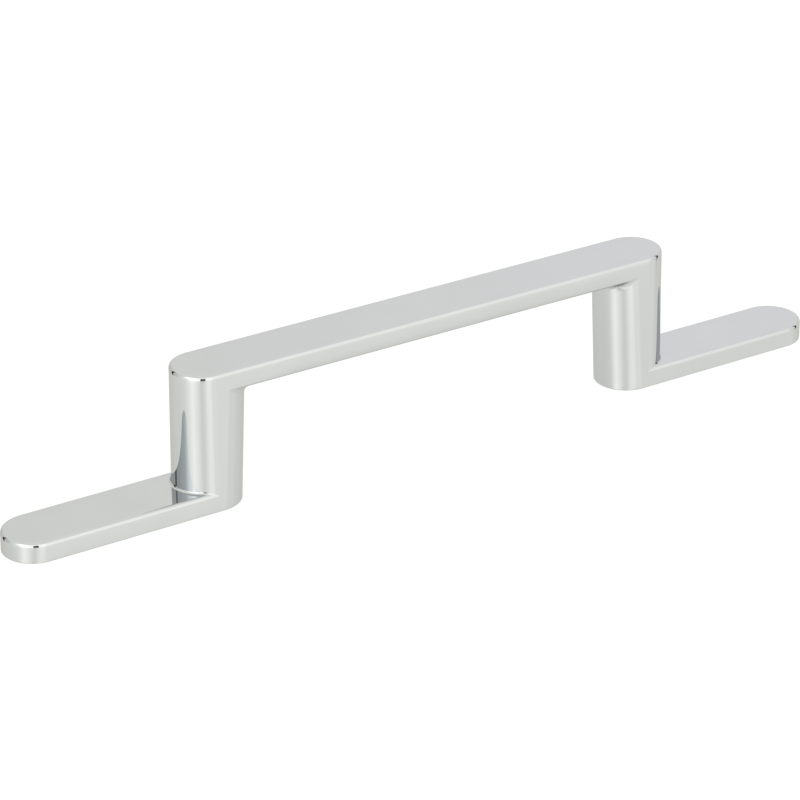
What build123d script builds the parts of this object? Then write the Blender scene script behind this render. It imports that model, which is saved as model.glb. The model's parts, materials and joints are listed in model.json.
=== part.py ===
# Bar pull for a drawer or door: one solid zinc casting.
# A flat bar with round ends stands on two posts, and a flat foot runs outward from each post.
# Frame: millimetres, origin at the middle of the mounting plane, X along the bar, Z away from the door.
import os
from math import atan, cos, radians, sin, tan

from build123d import *

# Overall sizes. Widths and lengths are taken at the base, where the casting is largest.
HOLE_PITCH = 96.0
WIDTH = 12.5
HEIGHT = 28.0
BAR_THICKNESS = 4.2
FOOT_THICKNESS = 4.1
# How far a foot reaches beyond the outer end of its post.
FOOT_REACH = 35.3
# Straight run between the two round ends of a post.
POST_FLAT = 0.9

# Die draft in degrees: the sides and outer ends lean in going up,
# and the finger gap, shaped by a core drawn out downward, widens going down.
OUTER_DRAFT = 0.75
GAP_DRAFT = 2.75

# Edge rounding.
TOP_EDGE_RADIUS = 0.7
UNDER_EDGE_RADIUS = 0.4
BASE_EDGE_RADIUS = 0.25

# Blind hole in each post for an M4 machine screw: tapping drill with its point, and a countersunk mouth.
TAP_DRILL_DIAMETER = 3.3
HOLE_DEPTH = 12.0
DRILL_POINT_ANGLE = 118.0
MOUTH_DIAMETER = 4.4
MOUTH_ANGLE = 90.0

# Levels and ends.
half_width = WIDTH / 2
hole_x = HOLE_PITCH / 2
post_half = half_width + POST_FLAT / 2
bar_length = 2 * (hole_x + post_half)
length = bar_length + 2 * FOOT_REACH
underside = HEIGHT - BAR_THICKNESS

# The drafted sides meet high above the part, on a line along X.
side_draft = radians(OUTER_DRAFT)
gap_draft = radians(GAP_DRAFT)
meet_z = half_width / tan(side_draft)

# Inner end of a post: a cone from a point on that line, leaning so that it touches both sides
# and its innermost line has the draft of the finger gap.
cone_half = atan(sin(side_draft) * cos(gap_draft) / (1 + sin(side_draft) * sin(gap_draft)))
cone_lean = gap_draft + cone_half
meet_x = hole_x - post_half - meet_z * tan(gap_draft)
touch_slope = tan(cone_lean) / cos(side_draft) ** 2


def touch_x(z):
    """Where the inner cone touches the sides, at height z."""
    return meet_x + (meet_z - z) * touch_slope


# Inner end of a post, from the touching plane inward, reaching up into the bar.
cone_down = Vector(sin(cone_lean), 0, -cos(cone_lean))
cone_far = (meet_z + WIDTH) / cos(cone_lean)
cone_near = (meet_z - HEIGHT) / cos(cone_lean)
cone_foot = Vector(meet_x, 0, meet_z) + cone_down * cone_far
touching = Plane(origin=(touch_x(0), 0, 0), x_dir=(0, 1, 0), z_dir=(1, 0, touch_slope))

with BuildPart() as inner_end:
    with Locations(Plane(origin=cone_foot, x_dir=(0, 1, 0), z_dir=-cone_down)):
        Cone(
            cone_far * tan(cone_half),
            cone_near * tan(cone_half),
            cone_far - cone_near,
            align=(Align.CENTER, Align.CENTER, Align.MIN),
        )
    split(bisect_by=touching, keep=Keep.BOTTOM)
    split(bisect_by=Plane.XY, keep=Keep.TOP)
    split(bisect_by=Plane.XY.offset(underside + BAR_THICKNESS / 2), keep=Keep.BOTTOM)

# Foot: the outer part of a drafted strip with round ends, from the hole outward.
with BuildPart() as foot:
    with BuildSketch():
        SlotOverall(length, WIDTH)
    extrude(amount=FOOT_THICKNESS, taper=OUTER_DRAFT)
    fillet(foot.edges().group_by(Axis.Z)[-1], TOP_EDGE_RADIUS)
    split(bisect_by=Plane.YZ.offset(hole_x), keep=Keep.TOP)

# What the drill and the countersink take out of a post, turned about the hole's axis.
drill_radius = TAP_DRILL_DIAMETER / 2
mouth_radius = MOUTH_DIAMETER / 2
mouth_depth = (mouth_radius - drill_radius) / tan(radians(MOUTH_ANGLE / 2))
point_depth = drill_radius / tan(radians(DRILL_POINT_ANGLE / 2))

with BuildPart() as screw_hole:
    with BuildSketch(Plane.XZ):
        with BuildLine():
            Polyline(
                (hole_x, 0),
                (hole_x + mouth_radius, 0),
                (hole_x + drill_radius, mouth_depth),
                (hole_x + drill_radius, HOLE_DEPTH),
                (hole_x, HOLE_DEPTH + point_depth),
                close=True,
            )
        make_face()
    revolve(axis=Axis((hole_x, 0, 0), (0, 0, 1)))

with BuildPart() as bar_pull:
    # Bar and posts as one drafted block with round ends and a rounded top edge.
    with BuildSketch():
        SlotOverall(bar_length, WIDTH)
    extrude(amount=HEIGHT, taper=OUTER_DRAFT)
    fillet(bar_pull.edges().group_by(Axis.Z)[-1], TOP_EDGE_RADIUS)

    # Finger gap between the posts, and the rounded lower edges of the bar.
    with BuildSketch(Plane.XZ):
        with BuildLine():
            Polyline(
                (touch_x(-WIDTH), -WIDTH),
                (touch_x(underside), underside),
                (-touch_x(underside), underside),
                (-touch_x(-WIDTH), -WIDTH),
                close=True,
            )
        make_face()
    extrude(amount=WIDTH, both=True, mode=Mode.SUBTRACT)
    fillet(bar_pull.edges().filter_by(Axis.X).group_by(Axis.Z)[1], UNDER_EDGE_RADIUS)

    # Round inner ends of the posts, then the feet.
    add(inner_end.part)
    mirror(inner_end.part, about=Plane.YZ)
    add(foot.part)
    mirror(foot.part, about=Plane.YZ)

    # Lower edge all round each foot.
    fillet(bar_pull.faces().filter_by(Plane.XY).group_by(Axis.Z)[0].edges(), BASE_EDGE_RADIUS)

    # Screw holes.
    add(screw_hole.part, mode=Mode.SUBTRACT)
    mirror(screw_hole.part, about=Plane.YZ, mode=Mode.SUBTRACT)

bar_pull.part.label = "bar_pull"

os.makedirs("parts", exist_ok=True)
export_step(bar_pull.part, "parts/bar_pull.step")
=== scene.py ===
"""Polished chrome bar pull in a plain white studio, built in the shared frame of its CAD model."""
import json
from functools import partial
from math import atan, atan2, cos, pi, radians, sin, sqrt, tan

import bpy
import numpy as np
from bpy.props import FloatProperty, FloatVectorProperty, IntProperty, PointerProperty
from mathutils import Matrix, Vector


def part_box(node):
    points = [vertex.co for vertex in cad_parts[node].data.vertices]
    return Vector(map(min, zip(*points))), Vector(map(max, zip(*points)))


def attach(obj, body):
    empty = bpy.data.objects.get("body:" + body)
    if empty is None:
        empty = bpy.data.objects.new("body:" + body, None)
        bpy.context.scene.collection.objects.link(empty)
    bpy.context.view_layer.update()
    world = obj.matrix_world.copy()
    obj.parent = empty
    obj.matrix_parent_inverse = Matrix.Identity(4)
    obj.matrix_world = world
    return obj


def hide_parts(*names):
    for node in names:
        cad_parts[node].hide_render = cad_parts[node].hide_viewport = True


bl_info = {
    "name": "Bar Pull",
    "version": (1, 0, 0),
    "blender": (4, 5, 0),
    "location": "View3D > Sidebar > Bar Pull",
    "description": "Builds a chrome bar pull and the white studio it is shown in",
    "category": "Object",
}

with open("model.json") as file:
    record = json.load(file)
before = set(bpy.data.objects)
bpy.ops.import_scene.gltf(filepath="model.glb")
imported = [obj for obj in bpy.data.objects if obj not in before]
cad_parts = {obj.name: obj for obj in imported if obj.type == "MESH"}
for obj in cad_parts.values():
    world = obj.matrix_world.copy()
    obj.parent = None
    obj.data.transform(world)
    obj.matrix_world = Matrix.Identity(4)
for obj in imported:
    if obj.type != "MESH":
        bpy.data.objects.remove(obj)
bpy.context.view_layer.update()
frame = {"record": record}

MM = 0.001
UP = np.array((0.0, 0.0, 1.0))
DOWN = -UP
# From a side wall straight toward the middle of the part.
INWARD = np.array((0.0, -1.0, 0.0))
# Corners closer than this are one corner.
WELD = 1e-9
# Directions closer than this are one direction.
TINY = 1e-7

solid_low, solid_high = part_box("bar_pull")
mounts = {mount["name"]: mount for mount in frame["record"]["mounts"]}
screw_dims = mounts["screw_holes"]["dims"]


def length_property(name, description, default):
    """A length in metres, shown in the scene's units."""
    return FloatProperty(
        name=name, description=description, default=default, unit="LENGTH", subtype="DISTANCE", precision=5
    )


def camera_property(name, description, default):
    """A length inside the camera, in millimetres."""
    return FloatProperty(
        name=name, description=description, default=default, unit="CAMERA", subtype="DISTANCE_CAMERA"
    )


def angle_property(name, description, degrees):
    """An angle kept in radians, shown in degrees."""
    return FloatProperty(name=name, description=description, default=radians(degrees), subtype="ANGLE")


def number_property(name, description, default):
    """A plain number, such as a brightness."""
    return FloatProperty(name=name, description=description, default=default)


def share_property(name, description, default):
    """A share between nothing and all."""
    return FloatProperty(
        name=name, description=description, default=default, min=0.0, max=1.0, subtype="FACTOR"
    )


def colour_property(name, description, default):
    """A colour, which for light may be brighter than white."""
    return FloatVectorProperty(
        name=name, description=description, default=default, size=3, soft_max=2.0, subtype="COLOR"
    )


def count_property(name, description, default):
    """A whole number of faces or turns."""
    return IntProperty(name=name, description=description, default=default)


class BarPullCasting(bpy.types.PropertyGroup):
    """Sizes of the casting, taken at the mounting plane where it is largest."""

    hole_pitch: length_property("Hole pitch", "Screw hole to screw hole", screw_dims["spacing_x_mm"] * MM)
    height: length_property("Height", "Mounting plane to bar top", solid_high[2] - solid_low[2])
    width: length_property("Width", "Across bar and feet", 12.5 * MM)
    bar_thickness: length_property("Bar thickness", "Bar top to its underside", 4.2 * MM)
    foot_thickness: length_property("Foot thickness", "Mounting plane to foot top", 4.1 * MM)
    foot_reach: length_property("Foot reach", "Outer end of a post to the tip of its foot", 35.3 * MM)
    post_flat: length_property("Post flat", "Straight run between a post's round ends", 0.9 * MM)
    side_draft: angle_property("Side draft", "Lean of the sides and outer ends", 0.75)
    gap_draft: angle_property("Gap draft", "Lean of the posts' inner ends", 2.75)
    top_round: length_property("Top rounding", "Reach of the top edges' rounding across the top", 0.6 * MM)
    side_round: length_property("Side rounding", "Reach of the top edges' rounding down the side", 0.82 * MM)
    under_round: length_property("Underside rounding", "Lower edges of the bar", 0.55 * MM)
    base_round: length_property("Base rounding", "Lower edges of the feet", 0.25 * MM)
    foot_hollow: length_property("Foot hollow", "Hollow where a post rises from its foot", 0.5 * MM)
    bar_hollow: length_property("Bar hollow", "Hollow where a post meets the bar", 2.2 * MM)
    top_lean: angle_property("Top lean", "Lean that polishing gives the wall at a top edge", 1.3)
    top_ease: length_property("Top easing", "Top edge to where that lean has run out", 1.3 * MM)
    under_lean: angle_property("Underside lean", "Lean of the wall at the bar's lower edges", 4.5)
    under_ease: length_property("Underside easing", "Lower edge to where that lean has run out", 2.2 * MM)
    base_lean: angle_property("Base lean", "Lean of the wall at the base", 1.0)
    base_ease: length_property("Base easing", "Base to where that lean has run out", 1.5 * MM)
    lean_run: number_property("Lean run", "Hollows from a post to where an edge's lean is at its full", 4.0)
    wall_rows: count_property("Wall rows", "Faces up the walls of bar and feet", 12)
    round_steps: count_property("Rounding steps", "Faces across a rounded edge", 12)
    turn_steps: count_property("Turn steps", "Faces round a quarter turn", 32)


class BarPullThread(bpy.types.PropertyGroup):
    """Sizes of the tapped screw hole in each post."""

    drill_radius: length_property("Drill radius", "Tapping drill", screw_dims["hole_r_mm"] * MM)
    thread_radius: length_property("Thread radius", "Bottom of the thread groove", 2.0 * MM)
    pitch: length_property("Pitch", "Groove to groove", 0.7 * MM)
    land: share_property("Land", "Flat between two grooves, as a share of the pitch", 0.25)
    bottom: share_property("Bottom", "Flat in the bottom of a groove, as a share of the pitch", 0.125)
    start: length_property("Thread start", "Mounting plane to the first groove", 0.7 * MM)
    turns: count_property("Turns", "Whole turns of thread", 13)
    depth: length_property("Hole depth", "Mounting plane to the end of the straight wall", 12.0 * MM)
    mouth_radius: length_property("Mouth radius", "Countersink at the mounting plane", 2.2 * MM)
    mouth_angle: angle_property("Mouth angle", "Full angle of the countersink", 90.0)
    point_angle: angle_property("Point angle", "Full angle of the drill point", 118.0)
    steps: count_property("Steps", "Faces round the hole", 48)


class BarPullChrome(bpy.types.PropertyGroup):
    """Look of the plated finish."""

    colour: colour_property("Colour", "Share of light sent back", (0.527, 0.555, 0.588))
    colour_change: share_property("Colour change", "Share of the colour that clouds add or take", 0.015)
    edge: share_property("Edge", "Share of a glancing reflection that chromium keeps", 0.75)
    clear_roughness: share_property("Clear roughness", "Polish in the clearest clouds, 0 is a mirror", 0.018)
    dull_roughness: share_property("Dull roughness", "Polish in the dullest clouds", 0.048)
    cloud_length: length_property("Cloud length", "Cloud to cloud in the polish", 8.0 * MM)
    ripple_height: length_property("Ripple height", "Waviness left by the polishing wheel", 0.0004 * MM)
    ripple_length: length_property("Ripple length", "Wave to wave", 5.0 * MM)


class BarPullStudio(bpy.types.PropertyGroup):
    """Camera, floor and light."""

    azimuth: angle_property("Azimuth", "Camera's turn round the part", -32.12)
    elevation: angle_property("Elevation", "Camera's height above the floor", 26.23)
    roll: angle_property("Roll", "Camera's tilt", -0.257)
    distance: length_property("Distance", "Camera to the point it looks at", 657.23 * MM)
    aim: FloatVectorProperty(
        name="Aim", description="Point the camera looks at", default=(-5.425 * MM, 0.0, 9.014 * MM), size=3,
        unit="LENGTH", subtype="TRANSLATION",
    )
    lens: camera_property("Lens", "Focal length", 154.71)
    sensor: camera_property("Sensor", "Width of the sensor", 36.0)
    floor_size: length_property("Floor size", "Side of the floor sheet", 8.0)
    floor_colour: colour_property("Floor colour", "White sheet", (0.2, 0.2, 0.21))
    floor_glow: number_property("Floor glow", "Light that comes up through the sheet", 0.85)
    floor_drop: length_property("Floor drop", "Gap that keeps the sheet and the base apart", 0.05 * MM)
    backdrop: number_property("Backdrop", "Plain white that the camera sees beyond the floor", 1.1)
    light_colour: colour_property("Light colour", "Slightly warm light of the tent", (1.03, 1.0, 0.91))
    cool_colour: colour_property("Cool colour", "Cooler light from high on the right", (1.034, 1.0, 0.962))
    roof: number_property("Roof", "Brightness of the tent's roof", 1.13)
    wall_foot: angle_property("Wall foot", "Height at which the walls come out of the ground", -21.0)
    wall_top: angle_property("Wall top", "Height at which the walls begin to turn into the roof", 20.0)
    roof_edge: angle_property("Roof edge", "Height at which the roof begins", 46.0)
    slot_top: angle_property("Slot top", "Top of the opening that the camera looks through", 17.0)
    ground_near: angle_property("Near ground", "Height at which the ground near the part begins", -33.0)
    shade_edge: angle_property("Shade edge", "Height at which the shade below the part begins", -46.0545)
    shade_full: angle_property("Shade full", "Height at which that shade is at its full", -71.8051)
    ground_shade: share_property("Ground shade", "Light that the part keeps off the ground below it", 0.15)


# Noise values between which the clouds in the polish go from clear to dull.
CLOUD_CLEAR = 0.3
CLOUD_DULL = 0.7
# Fineness of the noise in the clouds and in the ripple.
CLOUD_DETAIL = 4.0
RIPPLE_DETAIL = 1.0

# Brightness of the tent's walls by turn in degrees, measured like the camera's.
# Two soft lights stand left and right of the camera, and the walls dim away from them.
WALLS = (
    (-168, 0.93), (-126, 0.85), (-102, 1.12), (-78, 1.38), (-71, 1.6), (-67, 2.2), (-56, 2.2), (-48, 1.85),
    (-36, 1.7), (-6, 1.66), (4, 1.74), (14, 1.55), (24, 1.48), (36, 1.32), (42, 1.17), (63, 1.05), (108, 1.1),
    (138, 1.21), (148, 1.18), (155, 1.11), (165, 1.04), (176, 0.98),
)
# Lamps behind the walls: turn, height and spread of the bright patch in degrees, and the brightness it adds.
LAMPS = ((-70, 27, 26, 1.0), (45, 36, 24, 0.18))
# Share of its spread over which a patch is fully bright.
LAMP_CORE = 0.25
# Brightness of the ground, which mirrors the two lights softly.
GROUND = (
    (-116, 1.07), (-96, 1.12), (-82, 1.23), (-60, 1.53), (-42, 1.31), (-29, 1.08), (-21, 1.12), (-5, 1.42),
    (4, 1.41), (13, 1.24), (25, 1.25), (30, 1.21), (37, 1.145), (57, 1.165), (70, 1.08), (160, 1.05),
)
# Brightness of the ground nearer to the part, where the part itself keeps some light off.
NEAR_GROUND = (
    (-160, 0.93), (-112, 0.95), (-86, 1.04), (-66, 1.52), (-50, 1.26), (-36, 0.98), (-28, 1.04), (-15, 1.38),
    (-9, 1.34), (0, 1.17), (20, 1.13), (30, 1.1), (40, 1.03), (90, 1.03), (150, 0.97),
)
# Dark seams between the walls, as turn and width in degrees.
SEAMS = ((-143.5, 11), (75, 9.5))
# Opening for the camera, as turn and width in degrees.
SLOT = (-22, 17.5)
# What a seam or the opening takes away from the light.
DARK = 0.95
# Half widths of soft borders: beside a seam or the slot in degrees, and at the walls' foot and the slot's
# top in height, where a height is how far up a direction of length 1 points.
SEAM_SOFT = 1.0
FOOT_SOFT = 0.05
SLOT_SOFT = 0.03
# Where the light turns cooler, from the first touch to the full colour: how far right and how high.
COOL_RIGHT = (0.3, 0.58)
COOL_HEIGHT = (0.1, 0.4)


class RoundEnd:
    """Drafted round end: a cone, upright or leaning, that touches both side walls."""

    def __init__(self, tip, lean, half_angle, facing):
        self.tip = tip
        self.half_angle = half_angle
        self.axis = np.array((sin(lean), 0.0, -cos(lean)))
        self.front = np.array((cos(lean), 0.0, sin(lean))) * facing
        self.facing = facing

    def radial(self, turn):
        """Direction straight out from the cone's axis, turned from the front toward +Y."""
        return self.front * cos(turn) + np.array((0.0, sin(turn), 0.0))

    def normal(self, turn):
        """Normal of the wall."""
        return self.radial(turn) * cos(self.half_angle) - self.axis * sin(self.half_angle)

    def line(self, turn):
        """Direction down the wall."""
        return self.axis * cos(self.half_angle) + self.radial(turn) * sin(self.half_angle)

    def touch_turn(self, side):
        """Turn at which the wall has the normal of the side it runs into."""
        radial = side + self.axis * sin(self.half_angle)
        return atan2(radial[1], radial @ self.front)

    def shifted_tip(self, gap):
        """Tip of the cone that lies outside the wall by a gap, or inside it where the gap is negative."""
        return self.tip - self.axis * (gap / sin(self.half_angle))

    def ball(self, turn, z, gap):
        """Centre, at height z, of a ball that keeps the gap from the wall."""
        tip = self.shifted_tip(gap)
        line = self.line(turn)
        return tip + line * ((z - tip[2]) / line[2])

    def on_wall(self, turn, z):
        """Point of the wall at height z."""
        return self.ball(turn, z, 0.0)

    def turn_at(self, y, z, gap):
        """Turn of the ball that keeps the gap at an offset y and a height z."""
        tip = self.shifted_tip(gap)
        rise = z - tip[2]
        share = cos(self.half_angle) ** 2
        square = self.axis[0] ** 2 - share
        cross = self.axis[0] * self.axis[2] * rise
        rest = (self.axis[2] * rise) ** 2 - (y * y + rise * rise) * share
        x = (-cross - self.facing * sqrt(max(cross * cross - square * rest, 0.0))) / square
        away = np.array((x, y, rise))
        radial = away - self.axis * (away @ self.axis)
        return atan2(radial[1], radial @ self.front)


def linked(name, data):
    """New object in the scene."""
    thing = bpy.data.objects.new(name, data)
    bpy.context.collection.objects.link(thing)
    return thing


class Skin:
    """Faces of one piece, with a normal at each corner."""

    def __init__(self):
        self.points = []
        self.places = {}
        self.faces = []
        self.normals = []

    def place(self, point):
        """Number of a point, the same for corners that meet."""
        key = tuple(round(value / WELD) for value in point)
        if key not in self.places:
            self.places[key] = len(self.points)
            self.points.append(point)
        return self.places[key]

    def add(self, corners):
        """Adds a face from (point, normal) corners, turned to face the way its normals do."""
        kept = {}
        for point, normal in corners:
            kept.setdefault(self.place(point), normal)
        # A face that has shrunk to a line or a point is left out.
        if len(kept) < 3:
            return
        face = list(kept)
        spread = np.array([self.points[number] - self.points[face[0]] for number in face])
        facing = np.cross(spread[:-1], spread[1:]).sum(axis=0)
        if facing @ sum(kept.values()) < 0:
            face.reverse()
        self.faces.append(face)
        self.normals += [kept[number] for number in face]

    def add_mirrored(self, corners):
        """Adds a face and its images across both middle planes."""
        for along in (1, -1):
            for across in (1, -1):
                flip = np.array((along, across, 1))
                self.add([(point * flip, normal * flip) for point, normal in corners])

    def build(self, name):
        """Makes the mesh object."""
        mesh = bpy.data.meshes.new(name)
        mesh.from_pydata(self.points, [], self.faces)
        mesh.shade_smooth()
        mesh.normals_split_custom_set(self.normals)
        return linked(name, mesh)


def swing(start, end, steps):
    """Directions from one to another at even angles."""
    across = end - start * (start @ end)
    size = sqrt(across @ across)
    if size < TINY:
        return [start] * (steps + 1)
    across = across / size
    angle = atan2(size, start @ end)
    turns = [angle * step / steps for step in range(steps + 1)]
    return [start * cos(turn) + across * sin(turn) for turn in turns]


def tipped(normal, angle):
    """Direction tipped upward by a small angle."""
    tip = normal + UP * tan(angle)
    return tip / sqrt(tip @ tip)


def rolled(corner, along, inward, wall, lying, depth, reach, steps):
    """Corners over a sharp corner, from the wall to a flat face.

    The rounding is an ellipse that takes its depth from the wall and its reach from the face.
    """
    row = []
    for step in range(steps + 1):
        turn = pi / 2 * step / steps
        point = corner + along * depth * (1 - sin(turn)) + inward * reach * (1 - cos(turn))
        normal = wall * depth * cos(turn) + lying * reach * sin(turn)
        row.append((point, normal / sqrt(normal @ normal)))
    return row


def eased(row, angle):
    """A rounding's corners, which start with the lean of the wall and lose it on the way to the flat face."""
    last = len(row) - 1
    return [(point, tipped(normal, angle * (1 - step / last))) for step, (point, normal) in enumerate(row)]


def arc(centre, radius, start, end, steps):
    """Corners round a rolled edge, from one wall's normal to the other's; a hollow has a negative radius."""
    return [(centre + normal * radius, normal) for normal in swing(start, end, steps)]


def strip(rows):
    """Faces between neighbouring rows of corners."""
    faces = []
    for near, far in zip(rows, rows[1:]):
        for first in range(len(near) - 1):
            second = first + 1
            faces.append([near[first], far[first], far[second], near[second]])
    return faces


def flat(normal, corners):
    """A flat face through corners that belong to its neighbours."""
    return [(point, normal) for point, _ in corners]


def ends(rows):
    """Last corner of each row."""
    return [row[-1] for row in rows]


def edge_share(distance, width):
    """1 at an edge, running out to 0 at a width from it."""
    return max(0.0, 1.0 - distance / width) ** 2


class CastingQuarter:
    """Quarter of the casting with x and y positive, as rows of (point, normal) corners."""

    def __init__(self, sizes):
        self.sizes = sizes
        self.half_width = sizes.width / 2
        self.hole_x = sizes.hole_pitch / 2
        self.post_x = self.hole_x + sizes.post_flat / 2
        self.foot_x = self.post_x + sizes.foot_reach
        self.gap_x = self.hole_x - (self.half_width + sizes.post_flat / 2)
        self.underside = sizes.height - sizes.bar_thickness
        self.side = np.array((0.0, cos(sizes.side_draft), sin(sizes.side_draft)))
        self.side_down = np.array((0.0, sin(sizes.side_draft), -cos(sizes.side_draft)))
        self.set_ends()
        self.set_hollows()
        self.set_edges()
        self.set_levels()

    def set_ends(self):
        """Cones of the round ends, which start where the drafted sides meet, high above the part."""
        draft = self.sizes.side_draft
        gap_draft = self.sizes.gap_draft
        meet_z = self.half_width / tan(draft)
        gap_half = atan(sin(draft) * cos(gap_draft) / (1 + sin(draft) * sin(gap_draft)))
        gap_tip = np.array((self.gap_x - meet_z * tan(gap_draft), 0.0, meet_z))
        self.post_end = RoundEnd(np.array((self.post_x, 0.0, meet_z)), 0.0, draft, 1)
        self.foot_end = RoundEnd(np.array((self.foot_x, 0.0, meet_z)), 0.0, draft, 1)
        self.gap_end = RoundEnd(gap_tip, gap_draft + gap_half, gap_half, -1)

    def set_hollows(self):
        """Hollows at both ends of a post, where they end, and places along the side that follow from them."""
        sizes = self.sizes
        post_edge = self.side_top(self.post_x, sizes.foot_thickness)
        self.post_turns, self.post_root = self.root(
            self.post_end, post_edge, sizes.foot_thickness, UP, sizes.foot_hollow
        )
        self.gap_turns, self.gap_root = self.root(
            self.gap_end, self.side_under(0.0), self.underside, DOWN, sizes.bar_hollow
        )
        self.foot_turns = [(pi / 2) * (1 - step / sizes.turn_steps) for step in range(sizes.turn_steps + 1)]
        self.post_meet = ends(self.post_root)
        self.gap_meet = ends(self.gap_root)

        # End of the gap at the side, and where the lean of the bar's and the foot's edges is at its full.
        self.gap_touch = self.gap_meet[0][0][0]
        gap_top = self.gap_x - self.underside * tan(sizes.gap_draft)
        self.bar_full = gap_top - sizes.lean_run * sizes.bar_hollow
        self.foot_full = self.post_x + self.half_width + sizes.lean_run * sizes.foot_hollow

    def set_edges(self):
        """Rounded edges, each row with the lean of its wall."""
        sizes = self.sizes
        top = [self.side_top(x, sizes.height) for x in (0.0, self.bar_full, self.gap_touch)]
        top += [self.end_top(self.post_end, turn, sizes.height) for turn in self.post_turns]
        under = [self.side_under(x) for x in (0.0, self.bar_full)]
        foot = [self.side_top(self.foot_full, sizes.foot_thickness)]
        foot += [self.end_top(self.foot_end, turn, sizes.foot_thickness) for turn in self.foot_turns]
        base = [self.end_base(self.gap_end, turn) for turn in self.gap_turns[::-1]]
        base += [self.side_base(x) for x in (self.post_x, self.foot_full)]
        base += [self.end_base(self.foot_end, turn) for turn in self.foot_turns]
        self.top_rows = [eased(row, sizes.top_lean) for row in top]
        self.under_rows = [eased(row, -sizes.under_lean) for row in under]
        self.foot_rows = [eased(row, sizes.top_lean) for row in foot]
        self.base_rows = [eased(row, -sizes.base_lean) for row in base]

    def set_levels(self):
        """Heights of the wall rows along the bar and along the foot."""
        sizes = self.sizes
        bar_low = self.gap_meet[0][0][2]
        bar_high = self.top_rows[0][0][0][2]
        foot_low = sizes.base_round * (1 + sin(sizes.side_draft))
        foot_high = self.post_meet[0][0][2]
        self.bar_levels = np.linspace(bar_low, bar_high, sizes.wall_rows + 1)
        self.foot_levels = np.linspace(foot_low, foot_high, sizes.wall_rows + 1)

    def on_side(self, x, z):
        """Point of the side wall."""
        return np.array((x, self.half_width - z * tan(self.sizes.side_draft), z))

    def side_top(self, x, level):
        """Rounded top edge at the side."""
        sizes = self.sizes
        return rolled(
            self.on_side(x, level), self.side_down, INWARD, self.side, UP,
            sizes.side_round, sizes.top_round, sizes.round_steps,
        )

    def end_top(self, end, turn, level):
        """Rounded top edge round an end."""
        sizes = self.sizes
        return rolled(
            end.on_wall(turn, level), end.line(turn), -end.radial(turn), end.normal(turn), UP,
            sizes.side_round, sizes.top_round, sizes.round_steps,
        )

    def side_under(self, x):
        """Rounded lower edge of the bar."""
        sizes = self.sizes
        return rolled(
            self.on_side(x, self.underside), -self.side_down, INWARD, self.side, DOWN,
            sizes.under_round, sizes.under_round, sizes.round_steps,
        )

    def side_base(self, x):
        """Rounded lower edge of foot and post at the side."""
        radius = self.sizes.base_round
        centre = self.on_side(x, radius) + INWARD * (radius / cos(self.sizes.side_draft))
        return arc(centre, radius, self.side, DOWN, self.sizes.round_steps)

    def end_base(self, end, turn):
        """Rounded lower edge round an end."""
        radius = self.sizes.base_round
        return arc(end.ball(turn, radius, -radius), radius, end.normal(turn), DOWN, self.sizes.round_steps)

    def root(self, end, edge, level, lying, hollow):
        """Turns and rows of the hollow where a round end meets a flat face and its rounded edge."""
        steps = self.sizes.round_steps
        turns = []
        rows = []
        for step, (point, normal) in enumerate(edge):
            ball = point + normal * hollow
            turn = end.turn_at(ball[1], ball[2], hollow) if step else end.touch_turn(self.side)
            turns.append(turn)
            rows.append(arc(end.ball(turn, ball[2], hollow), -hollow, end.normal(turn), normal, steps))
        last = turns[-1]
        count = max(1, round(self.sizes.turn_steps * last / (pi / 2)))
        for step in range(1, count + 1):
            turn = last * (1 - step / count)
            turns.append(turn)
            centre = end.ball(turn, level + hollow * lying[2], hollow)
            rows.append(arc(centre, -hollow, end.normal(turn), lying, steps))
        return turns, rows

    def column(self, levels, place, normal, top_lean, low_lean, low_ease):
        """Corners up a wall, which leans next to its top edge and its lower edge."""
        corners = []
        for z in levels:
            top = top_lean * edge_share(levels[-1] - z, self.sizes.top_ease)
            low = low_lean * edge_share(z - levels[0], low_ease)
            corners.append((place(z), tipped(normal, top - low)))
        return corners

    def bar_column(self, place, normal, share):
        """Corners up a wall at the bar, with a share of the lean at the bar's lower edge."""
        sizes = self.sizes
        low_lean = sizes.under_lean * share
        return self.column(self.bar_levels, place, normal, sizes.top_lean, low_lean, sizes.under_ease)

    def foot_column(self, place, normal, share):
        """Corners up a wall at the foot, with a share of the lean at the foot's top edge."""
        sizes = self.sizes
        top_lean = sizes.top_lean * share
        return self.column(self.foot_levels, place, normal, top_lean, sizes.base_lean, sizes.base_ease)

    def side_walls(self):
        """Columns of the side wall: along the bar, along the foot, and on the post between them."""
        bar = [
            self.bar_column(partial(self.on_side, x), self.side, share)
            for x, share in ((0.0, 1.0), (self.bar_full, 1.0), (self.gap_touch, 0.0), (self.post_x, 0.0))
        ]
        foot = [self.foot_column(partial(self.gap_end.on_wall, self.gap_turns[0]), self.side, 0.0)]
        foot += [
            self.foot_column(partial(self.on_side, x), self.side, share)
            for x, share in ((self.post_x, 0.0), (self.foot_full, 1.0), (self.foot_x, 1.0))
        ]
        post = [[foot[0][-1], bar[2][0]], [foot[1][-1], bar[3][0]]]
        return bar, foot, post

    def round_walls(self):
        """Columns of the round walls: outer end of the post, its inner end, and end of the foot."""
        post = [
            root[:1] + self.bar_column(partial(self.post_end.on_wall, turn), self.post_end.normal(turn), 0.0)
            for turn, root in zip(self.post_turns, self.post_root)
        ]
        gap = [
            self.foot_column(partial(self.gap_end.on_wall, turn), self.gap_end.normal(turn), 0.0) + root[:1]
            for turn, root in zip(self.gap_turns, self.gap_root)
        ]
        # The inner end starts from its own base edge, which isn't level because the lean changes round it.
        for wall, base in zip(gap, self.base_rows[len(self.gap_turns) - 1::-1]):
            wall[0] = base[0]
        foot = [
            self.foot_column(partial(self.foot_end.on_wall, turn), self.foot_end.normal(turn), 1.0)
            for turn in self.foot_turns
        ]
        return post, gap, foot

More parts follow.
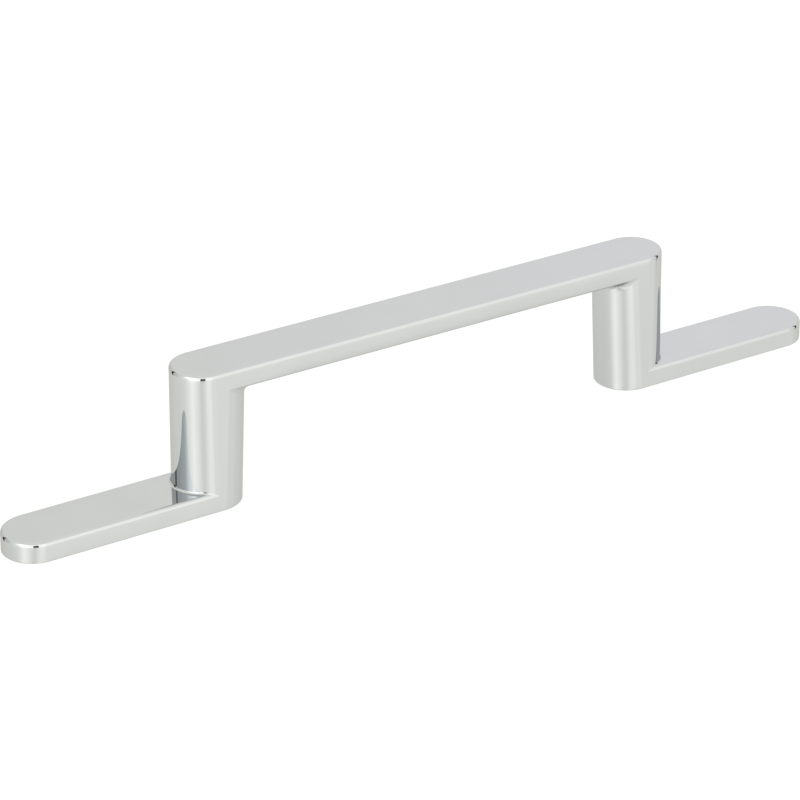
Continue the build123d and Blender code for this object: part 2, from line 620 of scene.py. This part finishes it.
    def flats(self, mouth_radius, mouth_steps):
        """Flat faces: bar top, foot top, underside of the bar, and base with half the hole's mouth."""
        steps = self.sizes.round_steps
        middle_top = (np.array((0.0, 0.0, self.sizes.height)), UP)
        middle_under = (np.array((0.0, 0.0, self.underside)), DOWN)
        mouth = []
        for step in range(mouth_steps // 2 + 1):
            turn = pi - 2 * pi * step / mouth_steps
            x = self.hole_x + mouth_radius * cos(turn)
            mouth.append((np.array((x, mouth_radius * sin(turn), 0.0)), DOWN))
        return [
            flat(UP, [middle_top] + ends(self.top_rows)),
            flat(UP, ends(self.foot_rows) + self.post_meet[steps:][::-1]),
            flat(DOWN, [middle_under] + ends(self.under_rows) + self.gap_meet[steps:]),
            flat(DOWN, ends(self.base_rows[::-1]) + mouth),
        ]

    def all_faces(self, mouth_radius, mouth_steps):
        """Every face of the quarter, from (point, normal) corners."""
        edge_corners = self.sizes.round_steps + 1
        faces = []
        for rows in (
            self.top_rows,
            self.under_rows + [self.gap_meet[:edge_corners]],
            [self.post_meet[:edge_corners]] + self.foot_rows,
            self.base_rows,
            self.post_root,
            self.gap_root,
            *self.side_walls(),
            *self.round_walls(),
        ):
            faces += strip(rows)
        return faces + self.flats(mouth_radius, mouth_steps)


class TappedHole:
    """Screw hole: countersink, right-hand thread, plain wall and drill point."""

    def __init__(self, x, sizes):
        self.x = x
        self.sizes = sizes
        self.mouth_depth = (sizes.mouth_radius - sizes.drill_radius) / tan(sizes.mouth_angle / 2)
        self.point_depth = sizes.drill_radius / tan(sizes.point_angle / 2)
        self.groove_depth = sizes.thread_radius - sizes.drill_radius
        # One groove, from land to land, as shares of the pitch and of the groove's depth.
        flank = (1 - sizes.land - sizes.bottom) / 2
        far_flank = sizes.land + flank + sizes.bottom
        self.groove = ((0.0, 0.0), (sizes.land, 0.0), (sizes.land + flank, 1.0), (far_flank, 1.0), (1.0, 0.0))

    def point(self, radius, step, z):
        """Point at a radius from the hole's axis."""
        turn = 2 * pi * step / self.sizes.steps
        return np.array((self.x + radius * cos(turn), radius * sin(turn), z))

    def inward(self, step, lean=0.0):
        """Normal toward the axis, tipped upward by an angle."""
        turn = 2 * pi * step / self.sizes.steps
        return np.array((-cos(turn) * cos(lean), -sin(turn) * cos(lean), sin(lean)))

    def fade(self, step):
        """Share of its depth that the groove has: it grows over the first turn and ends over the last."""
        turn = step / self.sizes.steps
        return min(1.0, turn, self.sizes.turns - turn)

    def thread(self, step, part):
        """Point of the groove."""
        sizes = self.sizes
        share, deep = self.groove[part]
        radius = sizes.drill_radius + self.groove_depth * deep * self.fade(step)
        return self.point(radius, step, sizes.start + sizes.pitch * (step / sizes.steps + share))

    def cone(self, angle, *rims):
        """Faces of a countersink or a drill point, by its full angle and its rims' radius and height."""
        rings = []
        for radius, z in rims:
            steps = range(self.sizes.steps + 1)
            rings.append([(self.point(radius, step, z), self.inward(step, -angle / 2)) for step in steps])
        return strip(rings)

    def flanks(self):
        """Faces of the thread, one flank at a time, each with its own normals."""
        faces = []
        for part, (near, far) in enumerate(zip(self.groove, self.groove[1:])):
            rise = self.sizes.pitch * (far[0] - near[0])
            for step in range(self.sizes.steps * self.sizes.turns):
                corners = []
                for place, row in ((step, part), (step + 1, part), (step + 1, part + 1), (step, part + 1)):
                    grow = self.groove_depth * (far[1] - near[1]) * self.fade(place)
                    corners.append((self.thread(place, row), self.inward(place, atan2(grow, rise))))
                faces.append(corners)
        return faces

    def plain_walls(self):
        """Faces of the wall before and after the thread."""
        steps = self.sizes.steps
        end = steps * self.sizes.turns
        last_turn = end - steps
        parts = range(len(self.groove))
        top = parts[-1]

        def low(step):
            """Corner at the countersink."""
            return (self.point(self.sizes.drill_radius, step, self.mouth_depth), self.inward(step))

        def high(step):
            """Corner at the drill point."""
            return (self.point(self.sizes.drill_radius, step, self.sizes.depth), self.inward(step))

        def on_thread(step, part):
            """Corner at the thread."""
            return (self.thread(step, part), self.inward(step))

        faces = []
        for step in range(steps - 1):
            faces.append([low(step), low(step + 1), on_thread(step + 1, 0), on_thread(step, 0)])
        # The last face before the thread takes in the corners at its start.
        start = [on_thread(0, part) for part in parts]
        faces.append([low(steps - 1), low(0)] + start + [on_thread(steps - 1, 0)])
        for step in range(1, steps):
            near = on_thread(last_turn + step, top)
            far = on_thread(last_turn + step + 1, top)
            faces.append([near, far, high(step + 1), high(step)])
        # The first face after the thread takes in the corners at its end.
        finish = [on_thread(end, part) for part in parts]
        faces.append(finish + [high(0), high(1), on_thread(last_turn + 1, top)])
        return faces

    def all_faces(self):
        """Every face of the hole, from (point, normal) corners."""
        sizes = self.sizes
        mouth = self.cone(
            sizes.mouth_angle, (sizes.mouth_radius, 0.0), (sizes.drill_radius, self.mouth_depth)
        )
        point = self.cone(
            sizes.point_angle, (sizes.drill_radius, sizes.depth), (0.0, sizes.depth + self.point_depth)
        )
        return mouth + point + self.flanks() + self.plain_walls()


def chrome_material(look):
    """Bright chrome plate: an even mirror with the faint waviness and haze of wheel polishing."""
    material = bpy.data.materials.new("chrome")
    material.use_nodes = True
    nodes = material.node_tree.nodes
    links = material.node_tree.links
    shader = nodes["Principled BSDF"]
    shader.inputs["Metallic"].default_value = 1.0
    shader.inputs["Specular Tint"].default_value = (look.edge, look.edge, look.edge, 1.0)

    place = nodes.new("ShaderNodeTexCoord")

    # Haze: slow cloudy change in polish.
    haze = nodes.new("ShaderNodeTexNoise")
    haze.inputs["Scale"].default_value = 1 / look.cloud_length
    haze.inputs["Detail"].default_value = CLOUD_DETAIL
    links.new(place.outputs["Object"], haze.inputs["Vector"])
    polish = nodes.new("ShaderNodeMapRange")
    polish.inputs["From Min"].default_value = CLOUD_CLEAR
    polish.inputs["From Max"].default_value = CLOUD_DULL
    polish.inputs["To Min"].default_value = look.clear_roughness
    polish.inputs["To Max"].default_value = look.dull_roughness
    links.new(haze.outputs["Fac"], polish.inputs["Value"])
    links.new(polish.outputs["Result"], shader.inputs["Roughness"])

    # Plating: the least change in colour, in the same clouds.
    plate = nodes.new("ShaderNodeValToRGB")
    clear, dull = plate.color_ramp.elements
    clear.position = CLOUD_CLEAR
    clear.color = (*[value * (1 - look.colour_change) for value in look.colour], 1.0)
    dull.position = CLOUD_DULL
    dull.color = (*[value * (1 + look.colour_change) for value in look.colour], 1.0)
    links.new(haze.outputs["Fac"], plate.inputs["Fac"])
    links.new(plate.outputs["Color"], shader.inputs["Base Color"])

    # Ripple: the wheel leaves the surface very slightly wavy.
    ripple = nodes.new("ShaderNodeTexNoise")
    ripple.inputs["Scale"].default_value = 1 / look.ripple_length
    ripple.inputs["Detail"].default_value = RIPPLE_DETAIL
    links.new(place.outputs["Object"], ripple.inputs["Vector"])
    bump = nodes.new("ShaderNodeBump")
    bump.inputs["Strength"].default_value = 1.0
    bump.inputs["Distance"].default_value = look.ripple_height
    links.new(ripple.outputs["Fac"], bump.inputs["Height"])
    links.new(bump.outputs["Normal"], shader.inputs["Normal"])
    return material


class BARPULL_OT_casting(bpy.types.Operator):
    """Build the casting: bar, posts and feet in one piece, with its tapped holes"""

    bl_idname = "bar_pull.casting"
    bl_label = "Casting"

    def execute(self, context):
        sizes = context.scene.bar_pull_casting
        thread = context.scene.bar_pull_thread
        skin = Skin()
        for corners in CastingQuarter(sizes).all_faces(thread.mouth_radius, thread.steps):
            skin.add_mirrored(corners)
        for x in (-sizes.hole_pitch / 2, sizes.hole_pitch / 2):
            for corners in TappedHole(x, thread).all_faces():
                skin.add(corners)
        piece = skin.build("pull_casting")
        piece.data.materials.append(chrome_material(context.scene.bar_pull_chrome))
        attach(piece, "root")
        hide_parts("bar_pull")
        return {"FINISHED"}


def floor_material(studio):
    """Matt white sheet, lit from below so that nothing casts a shadow on it."""
    material = bpy.data.materials.new("floor_sheet")
    material.use_nodes = True
    nodes = material.node_tree.nodes
    links = material.node_tree.links
    shader = nodes["Principled BSDF"]
    shader.inputs["Base Color"].default_value = (*studio.floor_colour, 1.0)
    shader.inputs["Roughness"].default_value = 1.0
    shader.inputs["Specular IOR Level"].default_value = 0.0
    shader.inputs["Emission Color"].default_value = (1.0, 1.0, 1.0, 1.0)
    shader.inputs["Emission Strength"].default_value = studio.floor_glow

    # The sheet is clear from below, so that the underside of the part can be looked at.
    facing = nodes.new("ShaderNodeNewGeometry")
    clear = nodes.new("ShaderNodeBsdfTransparent")
    sheet = nodes.new("ShaderNodeMixShader")
    links.new(facing.outputs["Backfacing"], sheet.inputs["Fac"])
    links.new(shader.outputs["BSDF"], sheet.inputs[1])
    links.new(clear.outputs["BSDF"], sheet.inputs[2])
    links.new(sheet.outputs["Shader"], nodes["Material Output"].inputs["Surface"])
    return material


def floor_sheet(studio):
    """White sheet that the part lies on."""
    half = studio.floor_size / 2
    corners = [(-half, -half, 0), (half, -half, 0), (half, half, 0), (-half, half, 0)]
    mesh = bpy.data.meshes.new("floor")
    mesh.from_pydata(corners, [], [(0, 1, 2, 3)])
    mesh.materials.append(floor_material(studio))
    floor = linked("floor", mesh)
    floor.location.z = -studio.floor_drop
    # The metal mirrors the tent's ground, not the sheet that the camera sees.
    floor.visible_glossy = False
    return floor


def direction(turn, rise):
    """Direction from the part, by turn and height."""
    return Vector((sin(turn) * cos(rise), -cos(turn) * cos(rise), sin(rise)))


def turn_share(degrees):
    """Place of a turn on a ramp that runs once round the tent."""
    return (degrees + 180.0) / 360.0


def once_round(stops):
    """Stops with one more at each end of the ramp, where it meets itself."""
    (first, first_value), (last, last_value) = stops[0], stops[-1]
    share = (180 - last) / (first + 360 - last)
    meet = last_value + (first_value - last_value) * share
    return [(-180, meet), *stops, (180, meet)]


class TentNodes:
    """Nodes that work out the tent's light from the direction it comes from."""

    def __init__(self, tree):
        self.nodes = tree.nodes
        self.links = tree.links
        self.place = self.nodes.new("ShaderNodeTexCoord").outputs["Generated"]
        parts = self.nodes.new("ShaderNodeSeparateXYZ")
        self.links.new(self.place, parts.inputs["Vector"])
        self.right = parts.outputs["X"]
        self.height = parts.outputs["Z"]
        turn = self.maths("ARCTAN2", self.right, self.maths("MULTIPLY", parts.outputs["Y"], -1.0))
        self.share = self.maths("ADD", self.maths("DIVIDE", turn, 2 * pi), 0.5)

    def maths(self, operation, first, second=0.0):
        """Sum on two values, each a number or another node's output."""
        node = self.nodes.new("ShaderNodeMath")
        node.operation = operation
        for socket, value in zip(node.inputs, (first, second)):
            if isinstance(value, float):
                socket.default_value = value
            else:
                self.links.new(value, socket)
        return node.outputs["Value"]

    def fade(self, value, start, end):
        """0 up to the start, 1 from the end on."""
        node = self.nodes.new("ShaderNodeMapRange")
        node.interpolation_type = "SMOOTHSTEP"
        node.inputs["From Min"].default_value = start
        node.inputs["From Max"].default_value = end
        self.links.new(value, node.inputs["Value"])
        return node.outputs["Result"]

    def blend(self, share, low, high):
        """From low, where the share is 0, to high."""
        kept = self.maths("MULTIPLY", low, self.maths("SUBTRACT", 1.0, share))
        return self.maths("ADD", kept, self.maths("MULTIPLY", high, share))

    def darken(self, light, where, strength):
        """Light with a share taken away in one place."""
        taken = self.maths("MULTIPLY", where, strength)
        return self.maths("MULTIPLY", light, self.maths("SUBTRACT", 1.0, taken))

    def ramp(self, stops):
        """Brightness by turn, stored as shares of the brightest."""
        stops = once_round(stops)
        brightest = max(value for _, value in stops)
        node = self.nodes.new("ShaderNodeValToRGB")
        elements = node.color_ramp.elements
        while len(elements) < len(stops):
            elements.new(0.5)
        for element, (degrees, value) in zip(elements, stops):
            element.position = turn_share(degrees)
            element.color = (*[value / brightest] * 3, 1.0)
        self.links.new(self.share, node.inputs["Fac"])
        return self.maths("MULTIPLY", node.outputs["Color"], brightest)

    def beside(self, degrees, width):
        """1 within a width of a turn, 0 elsewhere."""
        off = self.maths("ABSOLUTE", self.maths("SUBTRACT", self.share, turn_share(degrees)))
        half = width / 2
        return self.fade(off, (half + SEAM_SOFT) / 360.0, (half - SEAM_SOFT) / 360.0)

    def patch(self, centre, spread):
        """1 round a direction, 0 beyond a spread from it."""
        away = self.nodes.new("ShaderNodeVectorMath")
        away.operation = "DISTANCE"
        away.inputs[1].default_value = centre
        self.links.new(self.place, away.inputs[0])
        return self.fade(away.outputs["Value"], spread, spread * LAMP_CORE)


def wall_light(tent, studio):
    """Walls with the patches of the lamps, their seams, and the slot for the camera."""
    light = tent.ramp(WALLS)
    for degrees, rise, spread, brightness in LAMPS:
        patch = tent.patch(direction(radians(degrees), radians(rise)), radians(spread))
        light = tent.maths("ADD", light, tent.maths("MULTIPLY", patch, brightness))
    for degrees, width in SEAMS:
        light = tent.darken(light, tent.beside(degrees, width), DARK)
    top = sin(studio.slot_top)
    low = tent.fade(tent.height, top + SLOT_SOFT, top - SLOT_SOFT)
    slot = tent.maths("MULTIPLY", tent.beside(*SLOT), low)
    return tent.darken(light, slot, DARK)


def ground_light(tent, studio):
    """Ground, which changes toward the part and is darker straight below it."""
    nearer = tent.fade(tent.height, sin(studio.wall_foot) - FOOT_SOFT, sin(studio.ground_near))
    light = tent.blend(nearer, tent.ramp(GROUND), tent.ramp(NEAR_GROUND))
    below = tent.fade(tent.height, sin(studio.shade_edge), sin(studio.shade_full))
    return tent.darken(light, below, studio.ground_shade)


def tent_world(studio):
    """White tent: ground, walls of uneven brightness with dark seams, a roof, and a slot for the camera."""
    world = bpy.data.worlds.new("white_tent")
    world.use_nodes = True
    nodes = world.node_tree.nodes
    links = world.node_tree.links
    tent = TentNodes(world.node_tree)

    # Brightness: ground, then walls, then roof.
    foot = sin(studio.wall_foot)
    above_ground = tent.fade(tent.height, foot - FOOT_SOFT, foot + FOOT_SOFT)
    above_walls = tent.fade(tent.height, sin(studio.wall_top), sin(studio.roof_edge))
    light = tent.blend(above_ground, ground_light(tent, studio), wall_light(tent, studio))
    light = tent.blend(above_walls, light, studio.roof)

    # Colour: warm, and cooler high on the right.
    tint = nodes.new("ShaderNodeValToRGB")
    warm, cool = tint.color_ramp.elements
    warm.color = (*studio.light_colour, 1.0)
    cool.color = (*studio.cool_colour, 1.0)
    right = tent.fade(tent.right, *COOL_RIGHT)
    high = tent.fade(tent.height, *COOL_HEIGHT)
    links.new(tent.maths("MULTIPLY", right, high), tint.inputs["Fac"])
    background = nodes["Background"]
    links.new(tint.outputs["Color"], background.inputs["Color"])
    links.new(light, background.inputs["Strength"])

    # The camera sees plain white where the floor ends.
    ray = nodes.new("ShaderNodeLightPath")
    plain = nodes.new("ShaderNodeBackground")
    plain.inputs["Color"].default_value = (1.0, 1.0, 1.0, 1.0)
    plain.inputs["Strength"].default_value = studio.backdrop
    seen = nodes.new("ShaderNodeMixShader")
    links.new(ray.outputs["Is Camera Ray"], seen.inputs["Fac"])
    links.new(background.outputs["Background"], seen.inputs[1])
    links.new(plain.outputs["Background"], seen.inputs[2])
    links.new(seen.outputs["Shader"], nodes["World Output"].inputs["Surface"])
    return world


def studio_camera(studio):
    """Camera that sees the part as the photo does."""
    turn = studio.azimuth
    back = direction(turn, studio.elevation)
    right = Vector((cos(turn), sin(turn), 0.0))
    upward = back.cross(right)
    tilt = Matrix.Rotation(studio.roll, 3, back)
    axes = Matrix((tilt @ right, tilt @ upward, back)).transposed()
    data = bpy.data.cameras.new("camera")
    data.sensor_width = studio.sensor
    data.lens = studio.lens
    camera = linked("camera", data)
    camera.matrix_world = Matrix.Translation(Vector(studio.aim) + back * studio.distance) @ axes.to_4x4()
    return camera


class BARPULL_OT_stage(bpy.types.Operator):
    """Set the stage: white floor, white tent and camera"""

    bl_idname = "bar_pull.stage"
    bl_label = "Stage"

    def execute(self, context):
        studio = context.scene.bar_pull_studio
        floor = floor_sheet(studio)
        context.scene.world = tent_world(studio)
        context.scene.view_settings.view_transform = "Standard"
        context.scene.camera = studio_camera(studio)
        return {"FINISHED"}


class BARPULL_PT_panel(bpy.types.Panel):
    """Steps that build the bar pull and its studio"""

    bl_idname = "BARPULL_PT_panel"
    bl_label = "Bar Pull"
    bl_space_type = "VIEW_3D"
    bl_region_type = "UI"
    bl_category = "Bar Pull"

    def draw(self, context):
        for operator in OPERATORS:
            self.layout.operator(operator.bl_idname)


GROUPS = {
    "bar_pull_casting": BarPullCasting,
    "bar_pull_thread": BarPullThread,
    "bar_pull_chrome": BarPullChrome,
    "bar_pull_studio": BarPullStudio,
}
OPERATORS = (BARPULL_OT_casting, BARPULL_OT_stage)


def register():
    """Adds the sizes, the operators and the panel to Blender."""
    for name, group in GROUPS.items():
        bpy.utils.register_class(group)
        setattr(bpy.types.Scene, name, PointerProperty(type=group))
    for operator in OPERATORS:
        bpy.utils.register_class(operator)
    bpy.utils.register_class(BARPULL_PT_panel)


def unregister():
    """Takes them out again."""
    bpy.utils.unregister_class(BARPULL_PT_panel)
    for operator in reversed(OPERATORS):
        bpy.utils.unregister_class(operator)
    for name, group in reversed(GROUPS.items()):
        delattr(bpy.types.Scene, name)
        bpy.utils.unregister_class(group)


def main():
    """Builds everything."""
    register()
    bpy.ops.bar_pull.casting()
    bpy.ops.bar_pull.stage()


if __name__ == "__main__":
    main()
